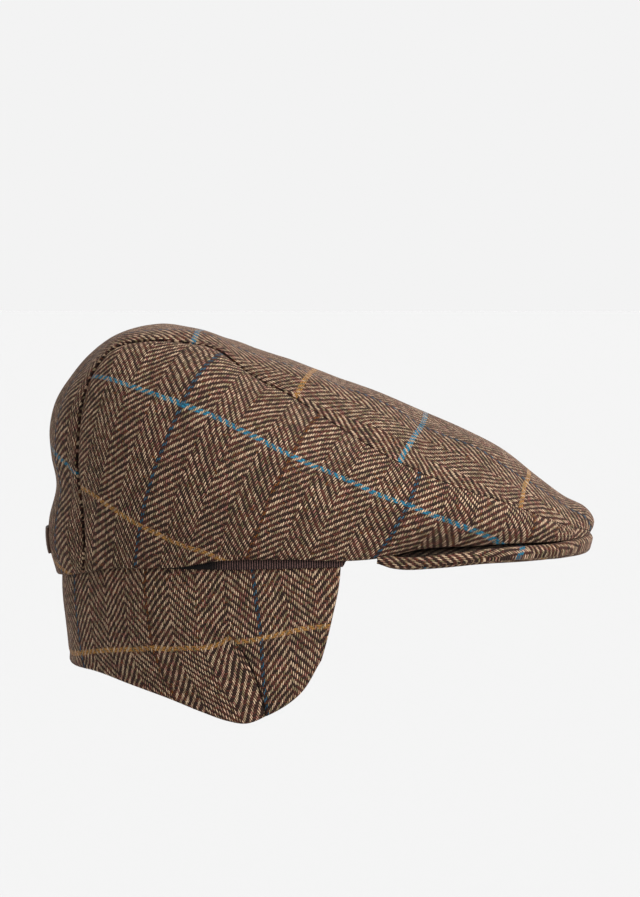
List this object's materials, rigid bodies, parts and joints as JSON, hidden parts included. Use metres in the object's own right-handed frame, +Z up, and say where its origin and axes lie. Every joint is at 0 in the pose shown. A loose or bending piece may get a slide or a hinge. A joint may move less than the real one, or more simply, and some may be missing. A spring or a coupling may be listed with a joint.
{
  "type": "flat cap with ear flap",
  "caption": "Tweed flat cap: a hollow crown of three panels over a stiff peak, with a ribboned rim and an ear and neck flap hanging below it.",
  "frame": {"origin": "centre of the head opening, where the cap sits on a head", "axes": "+X to the tip of the peak, +Y to the wearer's left, +Z up to the crown"},
  "size_m": [0.2817, 0.182, 0.193],
  "materials": {
    "tweed": "brown and fawn herringbone wool with a blue, gold and rust overcheck",
    "grosgrain": "dark brown ribbed ribbon",
    "leather": "dark brown, matt"
  },
  "bodies": {
    "root": {"crown_top": "tweed", "crown_side_right": "tweed", "crown_side_left": "tweed", "peak": "tweed", "ear_flap": "tweed", "rim_ribbon": "grosgrain", "back_tab": "leather"}
  },
  "joints": []
}
